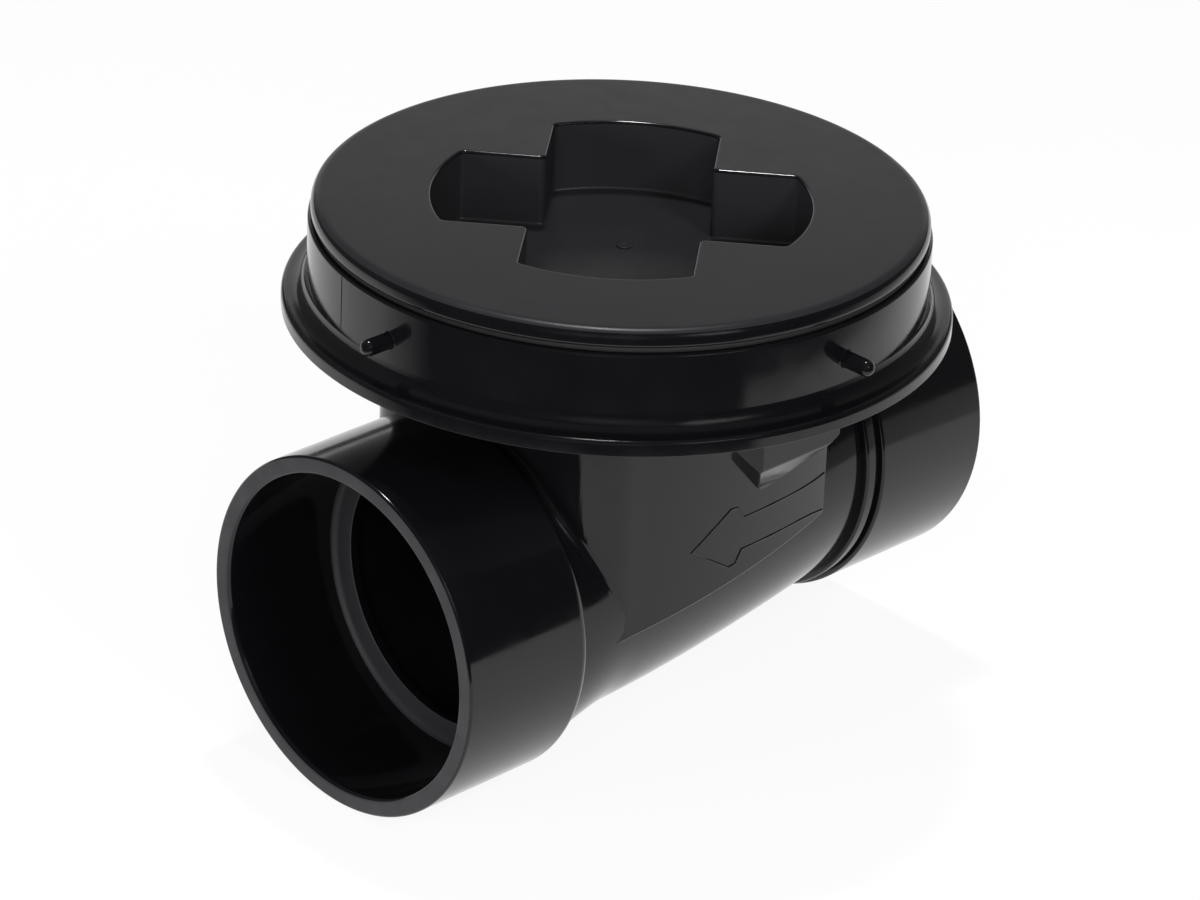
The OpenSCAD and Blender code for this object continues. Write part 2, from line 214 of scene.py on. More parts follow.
# Flow arrow on the chamber's wall: its middle's height, half its line's width, and its upper half from the
# open end to the tip, along the pipe from the cover's axis and up from the middle
arrow_z = 17.4 * MM
arrow_line = 0.4 * MM
arrow_half = [(x * MM, h * MM) for x, h in (
    (-35.5, 5.65), (-31, 5.05), (-25, 4.75), (-13, 4.75), (-1.2, 4.75),
    (1, 8.35), (3.6, 8.75), (10.55, 4.375), (17.5, 0))]

# Black card of the stage: where it starts, is full, fades and ends round the cover's axis, and from where
# on its lower edge is lifted, with the softness of that edge and of the step to it
card_r = 300 * MM
card_h = 450 * MM
card_start, card_full = math.radians(-40), math.radians(-17)
card_fade, card_end = math.radians(112), math.radians(163)
card_step, card_lift = math.radians(85), -27 * MM
card_soft = 2 * MM
card_turn_soft = 0.01

# Floor, sky and camera
floor_size = 24
floor_gap = 0.2 * MM
floor_white = 0.9
sky_strength = 0.12
camera_place = Vector((0.8406, 0.9143, 0.6862))
camera_right = Vector((-0.7132, 0.6998, 0.0405))
camera_up = Vector((-0.2908, -0.3478, 0.8915))
camera_sensor = 36
camera_lens = 162.07
camera_clip = 0.05

# Steps round a large circle, a small one and a turn of a thread, and along the barrel and the seat's sleeve
ROUND = 192
SMALL_ROUND = 48
THREAD_ROUND = 96
BARREL_STEPS = 44
SLEEVE_STEPS = 4

# How close counts as the same place, how close points are merged, how much slack a choice by place gets,
# and how far a cutter reaches past what it cuts
same = 0.01 * MM
doubles = 0.002 * MM
slack = 1 * MM
past = 1 * MM


# Operators

def clear_selection():
    if bpy.context.mode != "OBJECT":
        bpy.ops.object.mode_set(mode="OBJECT")
    bpy.ops.object.select_all(action="DESELECT")


def activate(piece):
    clear_selection()
    piece.select_set(True)
    bpy.context.view_layer.objects.active = piece


def edit(piece, mode="VERT"):
    activate(piece)
    bpy.ops.object.mode_set(mode="EDIT")
    bpy.ops.mesh.select_mode(type=mode)


def pick(piece, kind, test):
    """Selects the vertices, edges or faces of a piece whose place passes a test."""
    bpy.ops.mesh.select_all(action="DESELECT")
    bpy.ops.mesh.select_mode(type=kind)
    bpy.ops.object.mode_set(mode="OBJECT")
    mesh = piece.data
    if kind == "VERT":
        for vertex in mesh.vertices:
            vertex.select = test(vertex.co)
    elif kind == "EDGE":
        for edge in mesh.edges:
            a, b = (mesh.vertices[i].co for i in edge.vertices)
            edge.select = test(a, b)
    else:
        for face in mesh.polygons:
            face.select = test(face.center, face.normal)
    bpy.ops.object.mode_set(mode="EDIT")


def close_up():
    """Merges the doubles of the piece in edit mode, turns its faces outwards and leaves edit mode."""
    bpy.ops.mesh.select_all(action="SELECT")
    bpy.ops.mesh.remove_doubles(threshold=doubles)
    bpy.ops.mesh.normals_make_consistent(inside=False)
    bpy.ops.object.mode_set(mode="OBJECT")


def modify(piece, kind, **settings):
    activate(piece)
    modifier = piece.modifiers.new(kind.title(), kind)
    for key, value in settings.items():
        setattr(modifier, key, value)
    bpy.ops.object.modifier_apply(modifier=modifier.name)


def smooth(piece, angle=35):
    """Shades a piece smooth up to an angle, with the flats kept flat beside their roundings."""
    activate(piece)
    bpy.ops.object.shade_smooth_by_angle(angle=math.radians(angle))
    modify(piece, "WEIGHTED_NORMAL", keep_sharp=True, weight=80)


def bevel_edges(piece, width, segments=3, angle=40):
    modify(piece, "BEVEL", width=width, segments=segments, limit_method="ANGLE",
           angle_limit=math.radians(angle), use_clamp_overlap=True)


def cut(piece, tool, operation="DIFFERENCE"):
    """Cuts a piece with a tool or joins the tool to it. The tool is then thrown away."""
    modify(piece, "BOOLEAN", object=tool, operation=operation, solver="EXACT")
    bpy.data.objects.remove(tool)


def merge_pieces(pieces):
    clear_selection()
    for piece in pieces:
        piece.select_set(True)
    bpy.context.view_layer.objects.active = pieces[0]
    bpy.ops.object.join()
    return pieces[0]


def arc(cx, cy, r, start, end, steps=6):
    """Points of a round stretch of an outline, by angles in degrees."""
    turns = [math.radians(start + (end - start) * i / steps) for i in range(steps + 1)]
    return [(cx + r * math.cos(t), cy + r * math.sin(t)) for t in turns]


def draw(name, points, closed):
    """An outline drawn point by point: one vertex, then an extrude to each next point."""
    clear_selection()
    bpy.ops.mesh.primitive_plane_add(size=MM, location=(0, 0, 0))
    piece = bpy.context.object
    piece.name = name
    bpy.ops.object.mode_set(mode="EDIT")
    bpy.ops.mesh.select_mode(type="VERT")
    bpy.ops.mesh.select_all(action="SELECT")
    bpy.ops.mesh.merge(type="CENTER")
    bpy.ops.transform.translate(value=points[0])
    for a, b in zip(points, points[1:]):
        bpy.ops.mesh.extrude_region_move(TRANSFORM_OT_translate={"value": b - a})
    if closed:
        pick(piece, "VERT", lambda p: min((p - points[0]).length, (p - points[-1]).length) < same)
        bpy.ops.mesh.edge_face_add()
    bpy.ops.mesh.select_all(action="SELECT")
    return piece


def draw_done(name, points):
    """A closed outline, left in object mode."""
    piece = draw(name, points, True)
    bpy.ops.object.mode_set(mode="OBJECT")
    return piece


def turned(name, outline, centre, axis, out, closed=True, steps=ROUND):
    """A turned piece: an outline of (radius, height) points, spun round an axis."""
    axis, out = Vector(axis).normalized(), Vector(out).normalized()
    points = [centre + out * r + axis * h for r, h in outline]
    piece = draw(name, points, closed)
    bpy.ops.mesh.spin(steps=steps, angle=2 * math.pi, center=centre, axis=axis)
    close_up()
    return piece


def upright(name, outline, closed=True, steps=ROUND):
    return turned(name, outline, cover_axis, (0, 0, 1), (1, 0, 0), closed, steps)


def turn_about_cover(piece, angle):
    """Turns a piece's mesh about the cover's axis."""
    edit(piece)
    bpy.ops.mesh.select_all(action="SELECT")
    bpy.ops.transform.rotate(value=-angle, orient_axis="Z", center_override=cover_axis)
    bpy.ops.object.mode_set(mode="OBJECT")


# Nodes

def linear(code):
    """An sRGB hex colour as linear red, green, blue and alpha."""
    parts = [int(code[i:i + 2], 16) / 255 for i in (1, 3, 5)]
    return [c / 12.92 if c <= 0.04045 else ((c + 0.055) / 1.055) ** 2.4 for c in parts] + [1]


def add(tree, kind, values=None, links=None, **settings):
    """Adds a node with its settings, socket values and incoming links."""
    node = tree.nodes.new(kind)
    for key, value in settings.items():
        setattr(node, key, value)
    for key, value in (values or {}).items():
        node.inputs[key].default_value = value
    for key, source in (links or {}).items():
        tree.links.new(source, node.inputs[key])
    return node


def new_material(name):
    material = bpy.data.materials.new(name)
    material.use_nodes = True
    tree = material.node_tree
    shader = tree.nodes["Principled BSDF"]
    place = add(tree, "ShaderNodeTexCoord").outputs["Object"]
    return material, tree, shader, place


def per_mm(size):
    """The scale of a pattern, in metres, whose features are this many millimetres across."""
    return 1 / (size * MM)


def span(low, high, start=0.35, end=0.65):
    """Socket values that map a pattern's grey to a range."""
    return {"From Min": start, "From Max": end, "To Min": low, "To Max": high}


def black_abs(name, colour, rough, grain, depth, ior):
    """Black ABS as moulded: near black with a faint cloudiness from the flow of the melt, a gloss that
    varies a little from place to place, and a surface that takes the grain of its tool. The grain's
    width and depth are in millimetres. The IOR starts from 1.54 and is matched to the object."""
    material, tree, shader, place = new_material(name)
    cloud = add(tree, "ShaderNodeTexNoise", {"Scale": per_mm(35), "Detail": 3}, {"Vector": place})
    flow = add(tree, "ShaderNodeTexNoise", {"Scale": per_mm(9), "Detail": 4}, {"Vector": place})
    tool = add(tree, "ShaderNodeTexNoise", {"Scale": per_mm(grain), "Detail": 2}, {"Vector": place})
    dark, light = linear(colour[0]), linear(colour[1])
    tint = add(tree, "ShaderNodeMixRGB", {"Color1": dark, "Color2": light}, {"Fac": cloud.outputs["Fac"]})
    gloss = add(tree, "ShaderNodeMapRange", span(*rough), {"Value": flow.outputs["Fac"]})
    bump = add(tree, "ShaderNodeBump", {"Strength": 1, "Distance": depth * MM},
               {"Height": tool.outputs["Fac"]})
    shader.inputs["IOR"].default_value = ior
    tree.links.new(tint.outputs["Color"], shader.inputs["Base Color"])
    tree.links.new(gloss.outputs["Result"], shader.inputs["Roughness"])
    tree.links.new(bump.outputs["Normal"], shader.inputs["Normal"])
    return material


# Black ABS from a polished tool: mirror-like, with a slight orange peel 3 mm across
polished_abs = black_abs("polished_abs", ("#08080a", "#0d0d0f"), (0.09, 0.15), 3, 0.004, 1.43)
# Black ABS from a spark-eroded tool: a fine even grain, drawn 0.6 mm across so that it shows
grained_abs = black_abs("grained_abs", ("#1d1d1f", "#232325"), (0.3, 0.36), 0.6, 0.02, 1.25)
# Black ABS trimmed across its end, which leaves a dull face
trimmed_abs = black_abs("trimmed_abs", ("#1f1f21", "#252528"), (0.48, 0.6), 0.9, 0.03, 1.47)


def rubber_seal():
    """EPDM rubber: dull charcoal with a soft bloom and a fine grain."""
    material, tree, shader, place = new_material("epdm_rubber")
    bloom = add(tree, "ShaderNodeTexNoise", {"Scale": per_mm(12), "Detail": 4}, {"Vector": place})
    grain = add(tree, "ShaderNodeTexNoise", {"Scale": per_mm(0.8), "Detail": 2}, {"Vector": place})
    dark, light = linear("#0c0c0d"), linear("#161617")
    tint = add(tree, "ShaderNodeMixRGB", {"Color1": dark, "Color2": light}, {"Fac": bloom.outputs["Fac"]})
    gloss = add(tree, "ShaderNodeMapRange", span(0.62, 0.8), {"Value": bloom.outputs["Fac"]})
    bump = add(tree, "ShaderNodeBump", {"Strength": 1, "Distance": 0.03 * MM},
               {"Height": grain.outputs["Fac"]})
    shader.inputs["IOR"].default_value = 1.48
    tree.links.new(tint.outputs["Color"], shader.inputs["Base Color"])
    tree.links.new(gloss.outputs["Result"], shader.inputs["Roughness"])
    tree.links.new(bump.outputs["Normal"], shader.inputs["Normal"])
    return material


def white_acetal():
    """Acetal: a waxy off-white with a faint flow of lighter and darker."""
    material, tree, shader, place = new_material("acetal")
    flow = add(tree, "ShaderNodeTexNoise", {"Scale": per_mm(5), "Detail": 3}, {"Vector": place})
    dark, light = linear("#d2cec3"), linear("#dedbd1")
    tint = add(tree, "ShaderNodeMixRGB", {"Color1": dark, "Color2": light}, {"Fac": flow.outputs["Fac"]})
    gloss = add(tree, "ShaderNodeMapRange", span(0.3, 0.42), {"Value": flow.outputs["Fac"]})
    shader.inputs["IOR"].default_value = 1.48
    tree.links.new(tint.outputs["Color"], shader.inputs["Base Color"])
    tree.links.new(gloss.outputs["Result"], shader.inputs["Roughness"])
    return material


def stainless_steel():
    """Stainless steel, ground: a cool grey metal with fine lines, drawn 0.4 mm apart so that they show."""
    material, tree, shader, place = new_material("stainless_steel")
    along = add(tree, "ShaderNodeMapping", {"Scale": (1, 0.03, 1)}, {"Vector": place})
    lines = add(tree, "ShaderNodeTexNoise", {"Scale": per_mm(0.4), "Detail": 2},
                {"Vector": along.outputs["Vector"]})
    dark, light = linear("#a5a8ab"), linear("#c2c4c6")
    tint = add(tree, "ShaderNodeMixRGB", {"Color1": dark, "Color2": light}, {"Fac": lines.outputs["Fac"]})
    gloss = add(tree, "ShaderNodeMapRange", span(0.24, 0.36), {"Value": lines.outputs["Fac"]})
    bump = add(tree, "ShaderNodeBump", {"Strength": 1, "Distance": 0.01 * MM},
               {"Height": lines.outputs["Fac"]})
    shader.inputs["Metallic"].default_value = 1
    tree.links.new(tint.outputs["Color"], shader.inputs["Base Color"])
    tree.links.new(gloss.outputs["Result"], shader.inputs["Roughness"])
    tree.links.new(bump.outputs["Normal"], shader.inputs["Normal"])
    return material


epdm = rubber_seal()
acetal = white_acetal()
steel = stainless_steel()


def finish_piece(piece, body, material, replaced=()):
    piece.data.materials.clear()
    piece.data.materials.append(material)
    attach(piece, body)
    if replaced:
        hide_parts(*replaced)


def second_finish(piece, material, test):
    """Gives the faces that pass a test another finish."""
    piece.data.materials.append(material)
    for face in piece.data.polygons:
        if test(face.center, face.normal):
            face.material_index = 1


# Camera and stage

def make_camera():
    """The camera at the photograph's viewing angle."""
    camera = bpy.data.objects.new("camera", bpy.data.cameras.new("camera"))
    bpy.context.scene.collection.objects.link(camera)
    back = camera_right.cross(camera_up)
    turn = Matrix((camera_right, camera_up, back)).transposed().to_4x4()
    camera.matrix_world = Matrix.Translation(camera_place) @ turn
    camera.data.sensor_width = camera_sensor
    camera.data.lens = camera_lens
    camera.data.clip_start = camera_clip
    bpy.context.scene.camera = camera


def make_floor():
    """A pale floor that the camera and the gloss see as nearly white, with the object's shadow on it."""
    clear_selection()
    bpy.ops.mesh.primitive_plane_add(size=floor_size, location=(cover_axis.x, 0, cad_low.z - floor_gap))
    floor = bpy.context.object
    floor.name = "floor"
    material = bpy.data.materials.new("pale_floor")
    material.use_nodes = True
    tree = material.node_tree
    shader = tree.nodes["Principled BSDF"]
    shader.inputs["Base Color"].default_value = linear("#f2f2f2")
    shader.inputs["Roughness"].default_value = 0.9
    path = add(tree, "ShaderNodeLightPath")
    seen = add(tree, "ShaderNodeMath", {}, {0: path.outputs["Is Glossy Ray"],
                                            1: path.outputs["Is Transmission Ray"]}, operation="MAXIMUM")
    seen = add(tree, "ShaderNodeMath", {}, {0: path.outputs["Is Camera Ray"], 1: seen.outputs[0]},
               operation="MAXIMUM")
    share = add(tree, "ShaderNodeMath", {1: floor_white}, {0: seen.outputs[0]}, operation="MULTIPLY")
    white = add(tree, "ShaderNodeEmission", {"Color": (1, 1, 1, 1), "Strength": 1})
    mix = add(tree, "ShaderNodeMixShader", {},
              {0: share.outputs[0], 1: shader.outputs[0], 2: white.outputs[0]})
    tree.links.new(mix.outputs[0], tree.nodes["Material Output"].inputs["Surface"])
    floor.data.materials.append(material)


def softbox(name, place, target, size, watts):
    lamp = bpy.data.lights.new(name, "AREA")
    lamp.shape = "RECTANGLE"
    lamp.size, lamp.size_y = size
    lamp.energy = watts
    box = bpy.data.objects.new(name, lamp)
    bpy.context.scene.collection.objects.link(box)
    box.location = place
    box.rotation_euler = (Vector(target) - Vector(place)).to_track_quat("-Z", "Y").to_euler()
    return box


def make_card():
    """A black card round the front of the object, seen only in its gloss, as a studio's flag is."""
    edge = cover_axis + Matrix.Rotation(card_start, 3, "Z") @ Vector((card_r, 0, 0))
    foot = edge + Vector((0, 0, cad_low.z))
    card = draw("black_card", [foot, foot + Vector((0, 0, card_h))], False)
    bpy.ops.mesh.spin(steps=SMALL_ROUND, angle=card_start - card_end, center=cover_axis, axis=(0, 0, 1))
    close_up()
    material, tree, shader, place = new_material("black_card")
    shader.inputs["Base Color"].default_value = linear("#050505")
    shader.inputs["Roughness"].default_value = 1
    centred = add(tree, "ShaderNodeMapping", {"Location": -cover_axis}, {"Vector": place})
    turn = add(tree, "ShaderNodeTexGradient", {}, {"Vector": centred.outputs["Vector"]},
               gradient_type="RADIAL").outputs["Fac"]
    height = add(tree, "ShaderNodeSeparateXYZ", {}, {"Vector": place}).outputs["Z"]
    start, full, fade, end, step = (0.5 + angle / (2 * math.pi) for angle in (
        card_start, card_full, card_fade, card_end, card_step))
    opens = add(tree, "ShaderNodeMapRange", span(0, 1, start, full), {"Value": turn})
    closes = add(tree, "ShaderNodeMapRange", span(1, 0, fade, end), {"Value": turn})
    before = add(tree, "ShaderNodeMapRange", span(1, 0, step, step + card_turn_soft), {"Value": turn})
    above = add(tree, "ShaderNodeMapRange", span(0, 1, card_lift, card_lift + card_soft),
                {"Value": height})
    hung = add(tree, "ShaderNodeMath", {}, {0: above.outputs["Result"], 1: before.outputs["Result"]},
               operation="MAXIMUM")
    wide = add(tree, "ShaderNodeMath", {}, {0: opens.outputs["Result"], 1: closes.outputs["Result"]},
               operation="MULTIPLY")
    solid = add(tree, "ShaderNodeMath", {}, {0: wide.outputs[0], 1: hung.outputs[0]},
                operation="MULTIPLY")
    clear = add(tree, "ShaderNodeBsdfTransparent")
    mix = add(tree, "ShaderNodeMixShader", {},
              {0: solid.outputs[0], 1: clear.outputs[0], 2: shader.outputs[0]})
    tree.links.new(mix.outputs[0], tree.nodes["Material Output"].inputs["Surface"])
    card.data.materials.append(material)
    card.visible_camera = False
    card.visible_diffuse = False
    card.visible_shadow = False


def make_light():
    """A dim sky, a low backdrop that the cover reflects, a lamp nearly overhead and soft boxes in front."""
    world = bpy.data.worlds.new("studio")
    world.use_nodes = True
    sky = world.node_tree.nodes["Background"]
    sky.inputs["Color"].default_value = linear("#ffffff")
    sky.inputs["Strength"].default_value = sky_strength
    bpy.context.scene.world = world
    middle = (cover_axis.x, 0, 0.05)
    softbox("backdrop", place=(-0.386, -0.276, 0.19), target=(cover_axis.x, 0, 0.19),
            size=(0.56, 0.18), watts=0.215)
    softbox("top_lamp", place=(-0.28, -0.23, 1.34), target=middle, size=(0.11, 0.11), watts=10)
    softbox("side_box", place=(0.1, 1.2, 0.9), target=middle, size=(0.3, 0.4), watts=11)
    softbox("front_box", place=(1.0, 0.95, 0.72), target=middle, size=(0.7, 0.7), watts=15)
    fill = softbox("fill_box", place=(1.5, -0.25, 0.3), target=(0, 0, 0), size=(0.5, 0.5), watts=18)
    fill.visible_glossy = False


bpy.context.scene.view_settings.view_transform = "Standard"
make_camera()
make_floor()
make_light()
make_card()


# Pieces

def hub_outline(back_edge, back_len):
    """From the socket's lip, over the outside, to the back edge and in to the pipe stop."""
    foot = -(socket_depth + stop_t)
    lip, way_in = lip_round, lip_inside
    return arc(socket_r + way_in, -way_in, way_in, 180, 90, 6) \
        + arc(hub_r - lip, -lip, lip, 90, 0, 4) \
        + back_edge \
        + [(barrel_r, foot - back_len), (barrel_r, foot)] \
        + arc(stop_r + stop_edge, foot + stop_edge, stop_edge, 270, 180, 3) \
        + arc(stop_r + stop_edge, -socket_depth - stop_edge, stop_edge, 180, 90, 3) \
        + arc(socket_r - foot_round, foot_round - socket_depth, foot_round, 270, 360, 6)


def trimmed_end(mouth, out):
    """A test for the trimmed faces of a hub: its lip, and its pipe stop with the rounding there."""
    def trimmed(p, n):
        facing = n.x * out
        deep = (mouth.x - p.x) * out > socket_depth / 2
        return facing > lip_facing or deep and facing > stop_facing

    return trimmed


def make_outlet_hub():
    skirt = hub_high.x - hub_low.x - socket_depth - stop_t
    back = arc(hub_r - hub_round, hub_low.x - hub_high.x + hub_round, hub_round, 0, -90, 6)
    hub = turned("outlet_socket", hub_outline(back, skirt), outlet_mouth, (1, 0, 0), (0, 0, 1))
    smooth(hub, 40)
    finish_piece(hub, "valve_body", polished_abs, ["outlet_hub"])
    second_finish(hub, trimmed_abs, trimmed_end(outlet_mouth, 1))


def make_inlet_hub():
    length = inlet_high.x - inlet_low.x
    bead = length - socket_depth - stop_t
    foot = -(socket_depth + stop_t)
    step = foot + groove_w
    bead_r = barrel_r + bead_rise
    groove_r = barrel_r + bead_rise / 2
    r = bead_rise / 3
    back = arc(hub_r - edge_round, step + edge_round, edge_round, 0, -90, 4) \
        + [(groove_r, step), (groove_r, foot)] \
        + arc(bead_r - r, foot - r, r, 90, 0, 4) + arc(bead_r - r, -length + r, r, 0, -90, 4)
    hub = turned("inlet_socket", hub_outline(back, bead), inlet_mouth, (-1, 0, 0), (0, 0, 1))
    smooth(hub, 40)
    finish_piece(hub, "valve_body", polished_abs, ["inlet_hub"])
    second_finish(hub, trimmed_abs, trimmed_end(inlet_mouth, -1))


def side_half(x, inset=0):
    """Half the chamber's width at a place along the pipe, between its bowed sides."""
    return math.sqrt((chamber_bow - inset) ** 2 - x ** 2) - (chamber_bow - chamber_half)


def chamber_outline(inset, z):
    """The chamber seen from above: a straight inlet end, bowed sides and rounded outlet corners."""
    x0 = -chamber_inlet + inset
    x1 = chamber_outlet - inset
    r = chamber_corner - inset
    corner_y = side_half(x1 - r, inset) - r
    bow = [x0 + (x1 - r - x0) * i / 16 for i in range(17)]
    side = [(x, side_half(x, inset)) for x in bow] + arc(x1 - r, corner_y, r, 90, 0, 12)[1:]
    plan = side + [(x, -y) for x, y in reversed(side)]
    return [cover_axis + Vector((x, y, z)) for x, y in plan]


def thread(name, root, crest, start):
    """A screw thread of blunt ridges: an outline screwed up round the cover's axis."""
    sunk = root + (root - crest) / 2
    half = [(crest, thread_top), (root, thread_foot), (sunk, thread_foot)]
    ridge = [(r, -h) for r, h in reversed(half)] + half
    piece = draw(name, [Vector((r, 0, start + h)) for r, h in ridge], True)
    modify(piece, "SCREW", axis="Z", angle=2 * math.pi, iterations=thread_turns,
           screw_offset=thread_pitch, steps=THREAD_ROUND, render_steps=THREAD_ROUND,
           use_smooth_shade=False)
    edit(piece)
    for end in (start, start + thread_turns * thread_pitch):
        pick(piece, "VERT", lambda p: abs(p.y) < same and p.x > 0 and abs(p.z - end) < thread_pitch / 3)
        bpy.ops.mesh.edge_face_add()
    bpy.ops.mesh.select_all(action="SELECT")
    bpy.ops.transform.translate(value=cover_axis)
    close_up()
    return piece


def box(name, low, high):
    """A block between two corners."""
    low, high = Vector(low), Vector(high)
    clear_selection()
    bpy.ops.mesh.primitive_cube_add(size=1, location=(low + high) / 2, scale=high - low)
    bpy.ops.object.transform_apply(location=True, rotation=True, scale=True)
    piece = bpy.context.object
    piece.name = name
    return piece


def prism(name, points, rise):
    """A drawn outline, filled and raised along a vector."""
    piece = draw(name, points, True)
    bpy.ops.mesh.edge_face_add()
    bpy.ops.mesh.extrude_region_move(TRANSFORM_OT_translate={"value": rise})
    close_up()
    return piece


def copy_of(piece):
    activate(piece)
    bpy.ops.object.duplicate(linked=False)
    return bpy.context.object


def make_collar():
    foot, step, top = collar_low.z, collar_low.z + flange_t, collar_high.z
    e, f = edge_round, collar_fillet
    outline = [(0, foot)] \
        + arc(flange_r - flange_under, foot + flange_under, flange_under, 270, 360, 3) \
        + arc(flange_r - flange_edge, step - flange_edge, flange_edge, 0, 90, 6) \
        + arc(collar_r + f, step + f, f, 270, 180, 10) \
        + arc(collar_r - e, top - e, e, 0, 90, 4) \
        + arc(collar_bore + e, top - e, e, 90, 180, 4) \
        + [(collar_bore, step), (0, step)]
    collar = upright("collar", outline, closed=False)
    way = chamber_outline(chamber_wall, foot - flange_t)
    cut(collar, prism("chamber_way", way, (0, 0, 3 * flange_t)))
    for side in (1, -1):
        low, high = sorted(side * y for y in pocket_y)
        cut(collar, box("pocket", cover_axis + Vector((pocket_x - pocket_half, low, foot - flange_t)),
                        cover_axis + Vector((pocket_x + pocket_half, high, step + flange_t))))
    start = thread_low - thread_pitch / 2
    ridge = thread("collar_thread", collar_bore, collar_bore - thread_h, start)
    seams = []
    for turn in (seam_turn, seam_turn + math.pi):
        seam = box("seam", cover_axis + Vector((collar_r - seam_sink, -seam_w / 2, step + f)),
                   cover_axis + Vector((collar_r + seam_h, seam_w / 2, top - e)))
        bevel_edges(seam, seam_h / 2, 2)
        turn_about_cover(seam, turn)
        seams.append(seam)
    collar = merge_pieces([collar, ridge] + seams)
    smooth(collar, 35)
    finish_piece(collar, "valve_body", polished_abs, ["access_collar"])


def make_pins():
    """The sleeve pins: round-ended, with a soft foot where they leave the collar."""
    length = pin_reach - (collar_r - pin_set)
    foot = pin_set
    outline = [(0, 0), (pin_r + pin_foot, 0), (pin_r + pin_foot, foot - pin_sunk)] \
        + arc(pin_r + pin_foot, foot + pin_foot, pin_foot, 270, 180, 5) \
        + arc(0, length - pin_r, pin_r, 0, 90, 8)
    centre = cover_axis + Vector((collar_r - pin_set, 0, collar_low.z + flange_t + pin_rise))
    first = turned("collar_pins", outline, centre, (1, 0, 0), (0, 0, 1), closed=False, steps=SMALL_ROUND)
    pins = [first]
    for quarter in (1, 2, 3):
        pin = copy_of(first)
        turn_about_cover(pin, quarter * math.pi / 2)
        pins.append(pin)
    pins = merge_pieces(pins)
    smooth(pins, 40)
    finish_piece(pins, "valve_body", polished_abs, ["sleeve_pins"])


def make_gasket():
    low, high = gasket_low.z, gasket_high.z
    r = (high - low) / 3
    outline = arc(gasket_r - r, high - r, r, 90, 0, 4) + arc(gasket_r - r, low + r, r, 0, -90, 4) \
        + arc(collar_bore + r, low + r, r, 270, 180, 4) + arc(collar_bore + r, high - r, r, 180, 90, 4)
    ring = upright("cover_seal", outline)
    smooth(ring, 40)
    finish_piece(ring, "cover_ring", epdm, ["cover_gasket"])


def cross_outline(grow, z):
    """The tool recess seen from above: a cross whose arms end on a circle, with every corner rounded."""
    half, reach = recess_half + grow, recess_r + grow
    inner, outer = recess_inner - grow, recess_outer + grow
    along = math.sqrt((reach - outer) ** 2 - (half - outer) ** 2)
    corner = math.degrees(math.atan2(half - outer, along))
    arm = arc(0, 0, reach, -corner, corner, 24) + arc(along, half - outer, outer, corner, 90, 5)[1:]
    if inner > 0:
        arm += arc(half + inner, half + inner, inner, 270, 180, 5)
    else:
        arm += [(half, half)]
    arm += arc(half - outer, along, outer, 0, 90 - corner, 5)[:-1]
    points = []
    for quarter in range(4):
        turn = Matrix.Rotation(recess_turn + quarter * math.pi / 2, 3, "Z")
        points += [cover_axis + turn @ Vector((x, y, 0)) + Vector((0, 0, z)) for x, y in arm]
    return points


def cross_reach(angle, grow):
    """How far the cross reaches from the cover's axis in one direction."""
    quarter = math.pi / 2
    off = (angle - recess_turn + quarter / 2) % quarter - quarter / 2
    return min(recess_r + grow, (recess_half + grow) / max(abs(math.sin(off)), 0.01))


def off_axis(p):
    return math.hypot(p.x - cover_axis.x, p.y)


